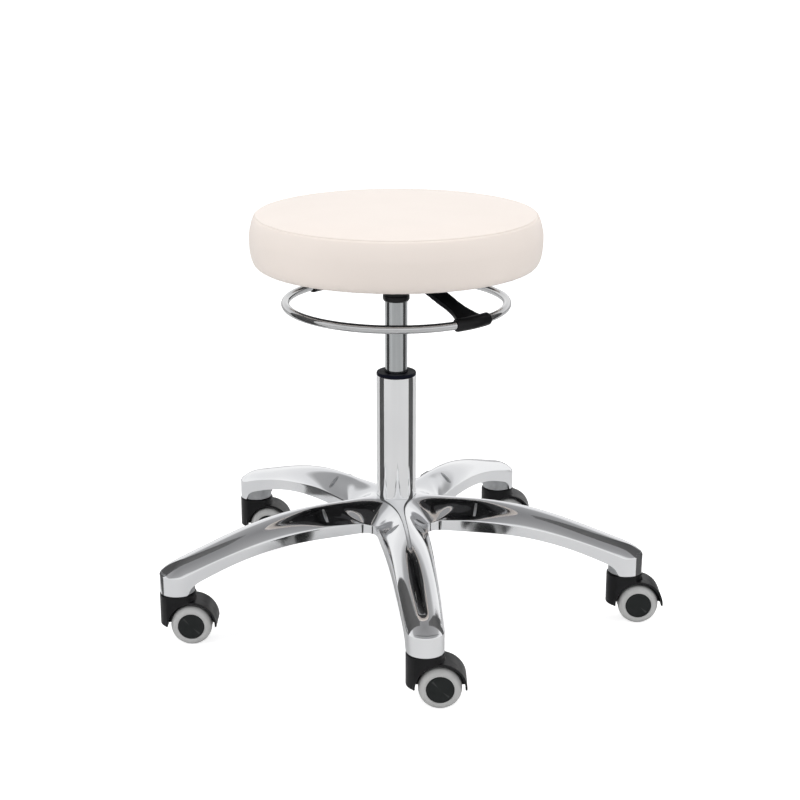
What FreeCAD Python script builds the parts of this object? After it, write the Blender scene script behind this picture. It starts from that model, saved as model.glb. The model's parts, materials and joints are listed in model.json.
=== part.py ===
"""Round dental stool: five-star base on twin-wheel castors, gas-spring column,
ring-released height adjustment and a padded round seat.

Frame: millimetres, +Z up, origin on the floor under the column axis.
Each separate physical piece is written to parts/NODE.step.
"""
import FreeCAD
import Part
import math
import os

V = FreeCAD.Vector
Z_AXIS = V(0, 0, 1)
Y_AXIS = V(0, 1, 0)

# ---- driving dimensions -------------------------------------------------------
RUN_FIT = 0.05              # radial clearance of a shaft that turns or slides in its hole
FREE_GAP = 0.3              # clearance between bodies that pass each other

# five-star base
STEM_CIRCLE = 294.0         # radius of the castor stems about the column
LEG_ANGLES = {"front": -83.5, "right": -11.5, "back_right": 60.5, "back_left": 132.5, "left": 204.5}
LEG_TIP_HALF = 22.0         # half width of a leg at the castor
LEG_TAPER = 0.0385          # gain of half width per mm towards the column
LEG_WALL = 4.0
BOSS_BOTTOM = 65.0          # underside of the castor socket
BOSS_R = 21.0
EDGE_PEAK_R, EDGE_PEAK_Z, EDGE_ARC = 100.0, 128.2, 500.0       # crease along each side wall
RIDGE_PEAK_R, RIDGE_PEAK_Z, RIDGE_ARC = 90.0, 148.0, 433.0     # crown line of each leg
RIDGE_SLOPE = 0.325         # steepest fall of the crown line
UNDER_PEAK_R, UNDER_PEAK_Z, UNDER_ARC = 122.0, 113.3, 365.0    # lower edge of the side wall
HUB_R = 34.0
HUB_TOP, HUB_BOTTOM = 147.0, 106.0
HUB_COLLAR_R = 30.0         # level ring round the column
WEB_R, WEB_TOP = 61.0, 124.0       # outer rim of the saddles between the legs
SADDLE_R, SADDLE_Z = 46.0, 138.0   # middle of a saddle

# column and gas spring
TUBE_R, TUBE_WALL = 25.0, 2.0
TUBE_TOP = 306.0
TUBE_FLOOR = 4.0
BUSH_CAP = 4.0
BUSH_BOTTOM = 226.0
CYL_R, CYL_WALL = 14.0, 1.5
CYL_BOTTOM = 218.0
CYL_SHOULDER = 404.0
CYL_TOP = 431.0
CYL_TOP_R = 13.2
ROD_R, SPIGOT_R = 5.0, 4.0
PISTON_BOTTOM, PISTON_H = 268.0, 12.0
BALL_R, BALL_COUNT, BALL_PITCH_R = 2.0, 12, 11.0
RACE_H = 2.0
BUMP_TOP = 126.0

# release mechanism
PIN_R, PIN_STEM_R = 4.0, 2.0
PIN_TOP, PIN_SHOULDER, PIN_BOTTOM = 437.0, 424.0, 400.0
HOUSING_R, HOUSING_WALL = 38.0, 3.0
HOUSING_FLOOR = 421.0
SLEEVE_R, SLEEVE_BOTTOM = 16.75, 401.0
ARM_ANGLE = -48.5           # plan direction of the front release arm; the other is opposite
ARM_WIDTH, ARM_THICK = 24.0, 7.0
ARM_KNEE_R, ARM_KNEE_Z = 36.0, 436.8       # bend of an arm's middle line, at the housing wall
FLARE_START, FLARE_KNEE, FLARE_GAIN = 92.0, 0.66, 3.2      # where an arm widens, and how slowly at first
YOKE_R, YOKE_Z = 20.0, 441.5
RING_R, RING_TUBE_R, RING_Z = 137.3, 5.1, 399.0
GRIP_R, GRIP_SPAN = 8.0, 21.5

# seat
PLATE_SIDE, PLATE_T, PLATE_BOTTOM = 170.0, 3.0, 445.4
SCREW_SPACING, SCREW_R, SCREW_LENGTH = 136.0, 3.0, 20.0
SCREW_HEAD_R, SCREW_HEAD_H = 6.0, 3.4
BOARD_R, BOARD_T = 160.0, 12.0
SEAT_UNDER_R, SEAT_UNDER_Z = 168.5, 448.8
SEAT_WIDE_R, SEAT_WIDE_Z = 180.7, 484.7
SEAM_R, SEAM_Z = 173.1, 510.0
SEAT_TOP_Z = 517.0
LOWER_ROLL, UPPER_ROLL, CROWN_ROLL = 2.5, 1.4, 2.5             # superellipse exponents
SKIN_T = 1.2
TUCK_R = 150.0              # the cover folds under the board to this radius

# castors
WHEEL_R, AXLE_Z, TRAIL = 25.0, 25.0, 16.7
STEM_R, STEM_FOOT, STEM_TOP = 5.5, 53.0, 87.0
COLLAR_R = 9.0
HOOD_R, HOOD_TOP, HOOD_ARC, HOOD_HALF = 22.5, 63.5, 31.0, 19.0
HOOD_FLOOR = 24.0
WHEEL_BAY_R = 28.6
WEB_HALF = 3.5
AXLE_R, AXLE_BOSS_R = 3.0, 8.0
WHEEL_INNER, WHEEL_OUTER = 4.3, 20.5   # distance of a wheel's faces from the castor's mid plane
CAP_R, CORE_R = 16.0, 19.0


# ---- helpers ------------------------------------------------------------------
def cylinder(radius, z0, z1, x=0.0, y=0.0):
    return Part.makeCylinder(radius, z1 - z0, V(x, y, z0), Z_AXIS)


def tube(outer, inner, z0, z1):
    return cylinder(outer, z0, z1).cut(cylinder(inner, z0 - 1, z1 + 1))


def cross_cylinder(radius, y0, y1, x, z):
    return Part.makeCylinder(radius, y1 - y0, V(x, y0, z), Y_AXIS)


def box(x0, x1, y0, y1, z0, z1):
    return Part.makeBox(x1 - x0, y1 - y0, z1 - z0, V(x0, y0, z0))


def turned(points, axis_point=V(0, 0, 0), axis=Z_AXIS, sweep=360.0):
    """Solid of revolution of a closed polygon."""
    face = Part.Face(Part.makePolygon(points + [points[0]]))
    return face.revolve(axis_point, axis, sweep)


def placed(shape, angle, x=0.0, y=0.0):
    moved = shape.copy()
    moved.rotate(V(0, 0, 0), Z_AXIS, angle)
    moved.translate(V(x, y, 0))
    return moved


def joined(shapes):
    return shapes[0].multiFuse(shapes[1:]).removeSplitter()


def save(node, shape):
    shape.exportStep(os.path.join("parts", node + ".step"))


# ---- five-star base -------------------------------------------------------------
def arc_height(r, peak_r, peak_z, arc):
    reach = max(r - peak_r, 0.0)
    return peak_z - arc + math.sqrt(arc * arc - reach * reach)


def ridge_height(r):
    """Crown line: level, then an arc, then a straight fall to the tip."""
    straight_from = RIDGE_PEAK_R + RIDGE_ARC * math.sin(math.atan(RIDGE_SLOPE))
    if r <= straight_from:
        return arc_height(r, RIDGE_PEAK_R, RIDGE_PEAK_Z, RIDGE_ARC)
    start = arc_height(straight_from, RIDGE_PEAK_R, RIDGE_PEAK_Z, RIDGE_ARC)
    return start - RIDGE_SLOPE * (r - straight_from)


def edge_height(r):
    return arc_height(r, EDGE_PEAK_R, EDGE_PEAK_Z, EDGE_ARC)


def leg_half_width(r):
    return LEG_TIP_HALF + LEG_TAPER * max(STEM_CIRCLE - r, 0.0)


def leg_section(r, inset, bottom):
    """Upright walls under a round crown, inset evenly; the bottom is a level line."""
    half = leg_half_width(r) - inset
    crease = edge_height(r) - inset * 0.5
    left, right = V(r, -half, crease), V(r, half, crease)
    crown = Part.Arc(left, V(r, 0, ridge_height(r) - inset), right).toShape()
    low_left, low_right = V(r, -half, bottom), V(r, half, bottom)
    sides = [Part.makeLine(a, b) for a, b in ((right, low_right), (low_right, low_left), (low_left, left))]
    return Part.Wire([crown] + sides)


def under_cutter(half_width):
    """Space under the arched lower edge of a leg, out to the castor socket."""
    wall_end = STEM_CIRCLE - 7.0
    stations = [UNDER_PEAK_R + (wall_end - UNDER_PEAK_R) * i / 6 for i in range(7)]
    curve = Part.BSplineCurve()
    curve.interpolate([V(r, 0, arc_height(r, UNDER_PEAK_R, UNDER_PEAK_Z, UNDER_ARC)) for r in stations])
    last = curve.EndPoint
    outline = [
        Part.makeLine(V(-10, 0, UNDER_PEAK_Z), V(UNDER_PEAK_R, 0, UNDER_PEAK_Z)),
        curve.toShape(),
        Part.makeLine(last, V(wall_end, 0, 0)),
        Part.makeLine(V(wall_end, 0, 0), V(-10, 0, 0)),
        Part.makeLine(V(-10, 0, 0), V(-10, 0, UNDER_PEAK_Z)),
    ]
    face = Part.Face(Part.Wire(outline))
    face.translate(V(0, -half_width, 0))
    return face.extrude(V(0, 2 * half_width, 0))


def leg_shell():
    stations = [10, 60, 110, 155, 200, 245, STEM_CIRCLE]
    outer = Part.makeLoft([leg_section(r, 0.0, BOSS_BOTTOM) for r in stations], True)
    nose = nose_solid()
    hollow_stations = [HUB_R, 90, 130, 170, 210, 245, STEM_CIRCLE - BOSS_R - 2]
    hollow = Part.makeLoft([leg_section(r, LEG_WALL, BOSS_BOTTOM - 5) for r in hollow_stations], True)
    shell = outer.fuse(nose).cut(under_cutter(60.0)).cut(hollow)
    return shell.fuse(cylinder(BOSS_R, BOSS_BOTTOM, edge_height(STEM_CIRCLE), STEM_CIRCLE))


def nose_solid():
    """Half-round end of the leg: the leg's section turned about the castor stem."""
    half, crease = LEG_TIP_HALF, edge_height(STEM_CIRCLE)
    top = V(0, 0, ridge_height(STEM_CIRCLE))
    full = Part.Arc(V(-half, 0, crease), top, V(half, 0, crease))
    middle = full.value((full.FirstParameter + 3 * full.LastParameter) / 4)
    crown = Part.Arc(top, middle, V(half, 0, crease)).toShape()
    outline = [
        crown,
        Part.makeLine(V(half, 0, crease), V(half, 0, BOSS_BOTTOM)),
        Part.makeLine(V(half, 0, BOSS_BOTTOM), V(0, 0, BOSS_BOTTOM)),
        Part.makeLine(V(0, 0, BOSS_BOTTOM), top),
    ]
    nose = Part.Face(Part.Wire(outline)).revolve(V(0, 0, 0), Z_AXIS, 180)
    nose.rotate(V(0, 0, 0), Z_AXIS, -90)
    nose.translate(V(STEM_CIRCLE, 0, 0))
    return nose


def star_base():
    hub = turned([
        V(0, 0, HUB_BOTTOM), V(HUB_R, 0, HUB_BOTTOM), V(HUB_R, 0, UNDER_PEAK_Z),
        V(WEB_R, 0, UNDER_PEAK_Z), V(WEB_R, 0, WEB_TOP), V(SADDLE_R, 0, SADDLE_Z),
        V(HUB_R, 0, HUB_TOP - 2), V(HUB_COLLAR_R, 0, HUB_TOP), V(0, 0, HUB_TOP),
    ])
    leg = leg_shell()
    base = hub.multiFuse([placed(leg, angle) for angle in LEG_ANGLES.values()])
    holes = [cylinder(TUBE_R, 0, 2 * HUB_TOP)]
    for angle in LEG_ANGLES.values():
        x, y = stem_place(angle)
        holes.append(cylinder(STEM_R + 0.3, 0, STEM_TOP + 1, x, y))
    return base.cut(Part.makeCompound(holes)).removeSplitter()


def stem_place(angle):
    turn = math.radians(angle)
    return STEM_CIRCLE * math.cos(turn), STEM_CIRCLE * math.sin(turn)


# ---- column ---------------------------------------------------------------------
BEARING_Z = HUB_BOTTOM + TUBE_FLOOR
BALL_Z = BEARING_Z + RACE_H + BALL_R + RUN_FIT
UPPER_RACE_Z = BALL_Z + BALL_R


def column_tube():
    shell = tube(TUBE_R, TUBE_R - TUBE_WALL, HUB_BOTTOM, TUBE_TOP)
    floor = tube(TUBE_R - TUBE_WALL, SPIGOT_R + 0.6, HUB_BOTTOM, HUB_BOTTOM + TUBE_FLOOR)
    return joined([shell, floor])


def guide_bush():
    sleeve = tube(TUBE_R - TUBE_WALL, CYL_R + RUN_FIT, BUSH_BOTTOM, TUBE_TOP)
    cap = tube(TUBE_R - 0.1, CYL_R + RUN_FIT, TUBE_TOP, TUBE_TOP + BUSH_CAP)
    rim = [e for e in cap.Edges if abs(e.BoundBox.ZMin - TUBE_TOP - BUSH_CAP) < 0.01]
    return joined([sleeve, cap.makeFillet(1.0, [e for e in rim if e.BoundBox.XMax > TUBE_R - 1])])


def bearing_balls():
    """Balls and the cage that spaces them, as separate solids."""
    cage = tube(BALL_PITCH_R + 2.5, BALL_PITCH_R - 2.5, BALL_Z - 0.7, BALL_Z + 0.7)
    balls = []
    for i in range(BALL_COUNT):
        turn = 2 * math.pi * i / BALL_COUNT
        centre = V(BALL_PITCH_R * math.cos(turn), BALL_PITCH_R * math.sin(turn), BALL_Z)
        balls.append(Part.makeSphere(BALL_R, centre))
        cage = cage.cut(Part.makeSphere(BALL_R + RUN_FIT, centre))
    return Part.makeCompound([cage] + balls)


CLIP_Z = HUB_BOTTOM - 1.7
CLIP_T = 1.4
CLIP_GROOVE_R = 3.2
ROD_NOSE_R = 3.5


def piston_rod():
    return turned([
        V(0, 0, CLIP_Z - 1.5), V(SPIGOT_R, 0, CLIP_Z - 1.5), V(SPIGOT_R, 0, CLIP_Z),
        V(CLIP_GROOVE_R, 0, CLIP_Z), V(CLIP_GROOVE_R, 0, CLIP_Z + CLIP_T), V(SPIGOT_R, 0, CLIP_Z + CLIP_T),
        V(SPIGOT_R, 0, UPPER_RACE_Z + RACE_H), V(ROD_R, 0, UPPER_RACE_Z + RACE_H),
        V(ROD_R, 0, PISTON_BOTTOM), V(ROD_NOSE_R, 0, PISTON_BOTTOM),
        V(ROD_NOSE_R, 0, PISTON_BOTTOM + PISTON_H + 2), V(0, 0, PISTON_BOTTOM + PISTON_H + 2),
    ])


def rod_clip():
    ring = tube(SPIGOT_R * 2, CLIP_GROOVE_R, CLIP_Z, CLIP_Z + CLIP_T)
    return ring.cut(box(0, 20, -2, 2, CLIP_Z - 1, CLIP_Z + CLIP_T + 1))


def piston():
    body = tube(CYL_R - CYL_WALL - RUN_FIT, ROD_NOSE_R, PISTON_BOTTOM, PISTON_BOTTOM + PISTON_H)
    groove = tube(CYL_R, CYL_R - CYL_WALL - 1.5, PISTON_BOTTOM + 4.5, PISTON_BOTTOM + 7.5)
    return body.cut(groove)


# ---- gas cylinder and its valve -----------------------------------------------------
VALVE_R = 6.0


def neck_radius(z):
    return CYL_R + (CYL_TOP_R - CYL_R) * max(z - CYL_SHOULDER, 0.0) / (CYL_TOP - CYL_SHOULDER)


def gas_cylinder():
    inner = CYL_R - CYL_WALL
    return turned([
        V(inner, 0, CYL_BOTTOM), V(CYL_R, 0, CYL_BOTTOM), V(CYL_R, 0, CYL_SHOULDER),
        V(CYL_TOP_R, 0, CYL_TOP), V(VALVE_R, 0, CYL_TOP), V(VALVE_R, 0, CYL_SHOULDER),
        V(inner, 0, CYL_SHOULDER),
    ])


def rod_seal():
    return tube(CYL_R - CYL_WALL, ROD_R + RUN_FIT, CYL_BOTTOM, CYL_BOTTOM + 14)


def valve_body():
    throat = PIN_SHOULDER - 3.6
    return turned([
        V(PIN_STEM_R + RUN_FIT, 0, PIN_BOTTOM - 2), V(VALVE_R, 0, PIN_BOTTOM - 2), V(VALVE_R, 0, CYL_TOP),
        V(PIN_R + RUN_FIT, 0, CYL_TOP), V(PIN_R + RUN_FIT, 0, throat), V(PIN_STEM_R + RUN_FIT, 0, throat),
    ])


def release_pin():
    return turned([
        V(0, 0, PIN_BOTTOM), V(PIN_STEM_R, 0, PIN_BOTTOM), V(PIN_STEM_R, 0, PIN_SHOULDER),
        V(PIN_R, 0, PIN_SHOULDER), V(PIN_R, 0, PIN_TOP - 1), V(PIN_R - 1, 0, PIN_TOP), V(0, 0, PIN_TOP),
    ])


# ---- release mechanism ---------------------------------------------------------------
def mechanism_housing():
    """Cup under the seat plate, with the taper sleeve that grips the cylinder's neck."""
    inner = HOUSING_R - HOUSING_WALL
    groove_z = SLEEVE_BOTTOM + 8
    cup = turned([
        V(CYL_R, 0, SLEEVE_BOTTOM), V(SLEEVE_R - 1.5, 0, SLEEVE_BOTTOM), V(SLEEVE_R, 0, SLEEVE_BOTTOM + 2.5),
        V(SLEEVE_R, 0, groove_z - 0.8), V(SLEEVE_R - 1, 0, groove_z), V(SLEEVE_R, 0, groove_z + 0.8),
        V(SLEEVE_R, 0, HOUSING_FLOOR), V(HOUSING_R, 0, HOUSING_FLOOR), V(HOUSING_R, 0, PLATE_BOTTOM),
        V(inner, 0, PLATE_BOTTOM), V(inner, 0, HOUSING_FLOOR + HOUSING_WALL),
        V(neck_radius(HOUSING_FLOOR + HOUSING_WALL), 0, HOUSING_FLOOR + HOUSING_WALL),
        V(CYL_R, 0, CYL_SHOULDER),
    ])
    slot_half = ARM_WIDTH / 2 + 1.0
    slot_top = arm_height(inner) + ARM_THICK / 2 + FREE_GAP
    reach = HOUSING_R + 5
    slot = box(-reach, reach, -slot_half, slot_half, HOUSING_FLOOR + HOUSING_WALL, slot_top)
    keep_sleeve = cylinder(inner - 1, HOUSING_FLOOR, PLATE_BOTTOM)
    return cup.cut(placed(slot.cut(keep_sleeve), ARM_ANGLE))


def arm_height(r):
    """Middle of a release arm: nearly level in the housing, then a straight fall to the ring."""
    if r < ARM_KNEE_R:
        return YOKE_Z + (ARM_KNEE_Z - YOKE_Z) * r / ARM_KNEE_R
    return ARM_KNEE_Z + (RING_Z - ARM_KNEE_Z) * (r - ARM_KNEE_R) / (RING_R - ARM_KNEE_R)


def ring_yoke():
    """Hub over the release pin, two opposite arms and the grips round the ring."""
    half_t = ARM_THICK / 2
    stops = [0.0, ARM_KNEE_R, RING_R]
    upper = [V(r, 0, arm_height(r) + half_t) for r in stops]
    lower = [V(r, 0, arm_height(r) - half_t) for r in reversed(stops)]
    side = Part.Face(Part.makePolygon(upper + lower + [upper[0]]))
    side.translate(V(0, -2 * ARM_WIDTH, 0))
    slab = side.extrude(V(0, 4 * ARM_WIDTH, 0))
    arm = slab.common(arm_plan())
    arms = [placed(arm, ARM_ANGLE), placed(arm, ARM_ANGLE + 180)]
    grip = grip_sleeve()
    grips = [placed(grip, ARM_ANGLE - GRIP_SPAN / 2), placed(grip, ARM_ANGLE + 180 - GRIP_SPAN / 2)]
    hub = cylinder(YOKE_R, YOKE_Z - half_t, YOKE_Z + half_t)
    body = joined([hub] + arms + grips)
    return body.cut(release_ring())


def arm_plan():
    """Plan outline of one arm: parallel, then flaring in two hollow curves into the grip."""
    half = ARM_WIDTH / 2
    wide = RING_R * math.sin(math.radians(GRIP_SPAN / 2)) * 0.92
    start, end = FLARE_START, RING_R
    knee_r, knee_half = start + FLARE_KNEE * (end - start), half + FLARE_GAIN
    right = Part.Arc(V(start, -half, 0), V(knee_r, -knee_half, 0), V(end, -wide, 0))
    left = Part.Arc(V(end, wide, 0), V(knee_r, knee_half, 0), V(start, half, 0))
    outline = [
        Part.makeLine(V(0, -half, 0), V(start, -half, 0)), right.toShape(),
        Part.makeLine(V(end, -wide, 0), V(end, wide, 0)), left.toShape(),
        Part.makeLine(V(start, half, 0), V(0, half, 0)), Part.makeLine(V(0, half, 0), V(0, -half, 0)),
    ]
    return Part.Face(Part.Wire(outline)).extrude(V(0, 0, PLATE_BOTTOM))


def grip_sleeve():
    circle = Part.makeCircle(GRIP_R, V(RING_R, 0, RING_Z), Y_AXIS)
    return Part.Face(Part.Wire(circle)).revolve(V(0, 0, 0), Z_AXIS, GRIP_SPAN)


def release_ring():
    return Part.makeTorus(RING_R, RING_TUBE_R, V(0, 0, RING_Z), Z_AXIS)


# ---- seat -----------------------------------------------------------------------------
def roll(t, exponent):
    """Rise and run of a superellipse quarter at t from 0 to 1."""
    turn = t * math.pi / 2
    return math.sin(turn) ** (2 / exponent), math.cos(turn) ** (2 / exponent)


def lower_side(inset, steps=7):
    """Side of the cushion from the flat underside up to its widest ring."""
    points = []
    for i in range(steps):
        run, drop = roll(i / (steps - 1), LOWER_ROLL)
        radius = SEAT_UNDER_R + (SEAT_WIDE_R - inset - SEAT_UNDER_R) * run
        points.append(V(radius, 0, SEAT_WIDE_Z - (SEAT_WIDE_Z - SEAT_UNDER_Z - inset) * drop))
    return points


def upper_side(inset, steps=6):
    points = []
    for i in range(steps):
        rise, run = roll(i / (steps - 1), UPPER_ROLL)
        radius = SEAM_R - inset + (SEAT_WIDE_R - SEAM_R) * run
        points.append(V(radius, 0, SEAT_WIDE_Z + (SEAM_Z - SEAT_WIDE_Z) * rise))
    return points


def crown(inset, steps=8):
    points = []
    for i in range(steps):
        rise, run = roll(i / (steps - 1), CROWN_ROLL)
        points.append(V((SEAM_R - inset) * run, 0, SEAM_Z + (SEAT_TOP_Z - inset - SEAM_Z) * rise))
    return points


def band_lines(inset):
    return lower_side(inset) + upper_side(inset)[1:]


def cover_band():
    """Side panel, from the seam down and folded in under the board."""
    inner = list(reversed(band_lines(SKIN_T)))
    under = [V(TUCK_R, 0, SEAT_UNDER_Z + SKIN_T), V(TUCK_R, 0, SEAT_UNDER_Z)]
    return turned(band_lines(0.0) + inner + under)


def cover_top():
    return turned(crown(0.0) + list(reversed(crown(SKIN_T))))


BOARD_BOTTOM = SEAT_UNDER_Z + SKIN_T
BOARD_TOP = BOARD_BOTTOM + BOARD_T


def seat_foam():
    """Cushion pad round and over the board, with room for the screw ends."""
    pad = turned([V(0, 0, BOARD_BOTTOM)] + band_lines(SKIN_T) + crown(SKIN_T)[1:])
    screw_top = PLATE_BOTTOM + SCREW_LENGTH + 1
    room = [cylinder(SCREW_R + 1, PLATE_BOTTOM, screw_top, x, y) for x, y in screw_places()]
    return pad.cut(Part.makeCompound([cylinder(BOARD_R, 0, BOARD_TOP)] + room))


def screw_places():
    half = SCREW_SPACING / 2
    return [(x, y) for x in (-half, half) for y in (-half, half)]


def seat_plate():
    half = PLATE_SIDE / 2
    plate = box(-half, half, -half, half, PLATE_BOTTOM, PLATE_BOTTOM + PLATE_T)
    corners = [e for e in plate.Edges if abs(e.BoundBox.ZLength - PLATE_T) < 0.01]
    plate = plate.makeFillet(14.0, corners)
    low, high = PLATE_BOTTOM - 1, PLATE_BOTTOM + PLATE_T + 1
    holes = [cylinder(SCREW_R + 0.3, low, high, x, y) for x, y in screw_places()]
    return plate.cut(Part.makeCompound(holes))


def plate_screws():
    """Four pan-head machine screws up into the board."""
    screws = []
    for x, y in screw_places():
        head = cylinder(SCREW_HEAD_R, PLATE_BOTTOM - SCREW_HEAD_H, PLATE_BOTTOM, x, y)
        rim = [e for e in head.Edges if abs(e.BoundBox.ZMax - PLATE_BOTTOM + SCREW_HEAD_H) < 0.01]
        shank = cylinder(SCREW_R, PLATE_BOTTOM, PLATE_BOTTOM + SCREW_LENGTH, x, y)
        recess = box(x - 2, x + 2, y - 2, y + 2, PLATE_BOTTOM - SCREW_HEAD_H - 1, PLATE_BOTTOM - 1.2)
        screws.append(joined([head.makeFillet(1.4, rim), shank]).cut(recess))
    return Part.makeCompound(screws)


TEE_BARREL_R, TEE_BARREL_H = 4.2, 9.0
TEE_FLANGE_R, TEE_FLANGE_T = 9.0, 1.2


def tee_nuts():
    """Threaded inserts pressed into the board from above, one round each screw."""
    nuts = []
    for x, y in screw_places():
        flange = cylinder(TEE_FLANGE_R, BOARD_TOP - TEE_FLANGE_T, BOARD_TOP, x, y)
        barrel = cylinder(TEE_BARREL_R, BOARD_TOP - TEE_BARREL_H, BOARD_TOP, x, y)
        nuts.append(joined([flange, barrel]).cut(cylinder(SCREW_R, PLATE_BOTTOM, BOARD_TOP + 1, x, y)))
    return Part.makeCompound(nuts)


def seat_board():
    board = cylinder(BOARD_R, BOARD_BOTTOM, BOARD_TOP)
    cuts = []
    for x, y in screw_places():
        cuts.append(cylinder(SCREW_R + 0.4, PLATE_BOTTOM, BOARD_TOP, x, y))
        cuts.append(cylinder(TEE_BARREL_R, BOARD_TOP - TEE_BARREL_H, BOARD_TOP, x, y))
        cuts.append(cylinder(TEE_FLANGE_R, BOARD_TOP - TEE_FLANGE_T, BOARD_TOP, x, y))
    return board.cut(Part.makeCompound(cuts))


def dust_cover():
    """Thin cloth disc that closes the underside inside the folded cover."""
    low = PLATE_BOTTOM + PLATE_T
    disc = cylinder(TUCK_R, low, BOARD_BOTTOM)
    holes = [cylinder(SCREW_R + 0.4, PLATE_BOTTOM, BOARD_TOP, x, y) for x, y in screw_places()]
    return disc.cut(Part.makeCompound(holes))


# ---- castors ------------------------------------------------------------------------
def castor_hood():
    """Round-backed hood over two wheels, with a middle web that holds the axle."""
    rear = cylinder(HOOD_R, HOOD_FLOOR, HOOD_TOP)
    arch = cross_cylinder(HOOD_ARC, -HOOD_HALF, HOOD_HALF, TRAIL, AXLE_Z)
    above = box(-60, 60, -60, 60, HOOD_FLOOR, HOOD_TOP)
    fill = box(0, TRAIL, -HOOD_HALF, HOOD_HALF, HOOD_FLOOR + 10, HOOD_ARC + AXLE_Z)
    shell = joined([rear, arch.common(above), fill])
    slab = box(-60, 60, -HOOD_HALF, HOOD_HALF, 0, 100)
    shell = shell.common(slab)
    far_bay = cross_cylinder(WHEEL_BAY_R, WEB_HALF, 2 * HOOD_HALF, TRAIL, AXLE_Z)
    near_bay = cross_cylinder(WHEEL_BAY_R, -2 * HOOD_HALF, -WEB_HALF, TRAIL, AXLE_Z)
    shell = shell.cut(Part.makeCompound([near_bay, far_bay]))
    boss = cross_cylinder(AXLE_BOSS_R, -WEB_HALF, WEB_HALF, TRAIL, AXLE_Z)
    bore = cross_cylinder(AXLE_R, -HOOD_HALF, HOOD_HALF, TRAIL, AXLE_Z)
    return joined([shell, boss]).cut(bore).cut(cylinder(STEM_R + RUN_FIT, STEM_FOOT - 1, STEM_TOP))


def castor_stem():
    """Stem pressed up into the leg, its loose end turning in the hood, and its spring grip ring."""
    groove_low, groove_high = STEM_TOP - 6, STEM_TOP - 2
    stem = turned([
        V(0, 0, STEM_FOOT), V(STEM_R, 0, STEM_FOOT), V(STEM_R, 0, HOOD_TOP + FREE_GAP),
        V(COLLAR_R, 0, HOOD_TOP + FREE_GAP), V(COLLAR_R, 0, BOSS_BOTTOM), V(STEM_R, 0, BOSS_BOTTOM),
        V(STEM_R, 0, groove_low), V(STEM_R - 1, 0, groove_low), V(STEM_R - 1, 0, groove_high),
        V(STEM_R, 0, groove_high), V(STEM_R, 0, STEM_TOP - 1), V(STEM_R - 1, 0, STEM_TOP), V(0, 0, STEM_TOP),
    ])
    grip = tube(STEM_R + 0.3, STEM_R - 1, groove_low, groove_high)
    grip = grip.cut(box(0, 2 * STEM_R, -1, 1, groove_low, groove_high))
    return Part.makeCompound([stem, grip])


def castor_axle():
    return cross_cylinder(AXLE_R, -WHEEL_OUTER + 3, WHEEL_OUTER - 3, TRAIL, AXLE_Z)


def wheel_turned(profile, side):
    """Revolve (radius, distance from mid plane) points about the axle, on one side of the castor."""
    points = [V(TRAIL + radius, side * reach, AXLE_Z) for radius, reach in profile]
    return turned(points, V(TRAIL, 0, AXLE_Z), Y_AXIS)


def wheel_core(side):
    """Wheel body and its press-in cap disc, as separate solids."""
    bore = AXLE_R + RUN_FIT
    cap_in = WHEEL_OUTER - 2.4
    core = wheel_turned([
        (bore, WHEEL_INNER), (CORE_R, WHEEL_INNER), (CORE_R, WHEEL_OUTER - 4),
        (CAP_R, WHEEL_OUTER - 4), (CAP_R, cap_in), (bore, cap_in),
    ], side)
    disc = WHEEL_OUTER - 0.6
    cap = wheel_turned([
        (0, cap_in), (CAP_R, cap_in), (CAP_R, disc), (CAP_R - 1, WHEEL_OUTER),
        (CAP_R - 3, WHEEL_OUTER), (CAP_R - 4, disc), (0, disc),
    ], side)
    return Part.makeCompound([core, cap])


def wheel_tread(side):
    """Soft tyre: a flat running surface with round shoulders, lapping the face up to the cap."""
    turns = [math.radians(a) for a in range(90, -1, -15)]
    shoulder = [(WHEEL_R - 5 + 5 * math.sin(t), WHEEL_OUTER - 6 + 5 * math.cos(t)) for t in turns]
    lap_r, seat_r = CAP_R + RUN_FIT, CORE_R + RUN_FIT
    lap_in = WHEEL_OUTER - 4 + RUN_FIT
    profile = [(seat_r, WHEEL_INNER), (WHEEL_R - 2, WHEEL_INNER), (WHEEL_R, WHEEL_INNER + 2)]
    profile += shoulder + [(lap_r, WHEEL_OUTER - 1), (lap_r, lap_in), (seat_r, lap_in)]
    return wheel_turned(profile, side)


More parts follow.
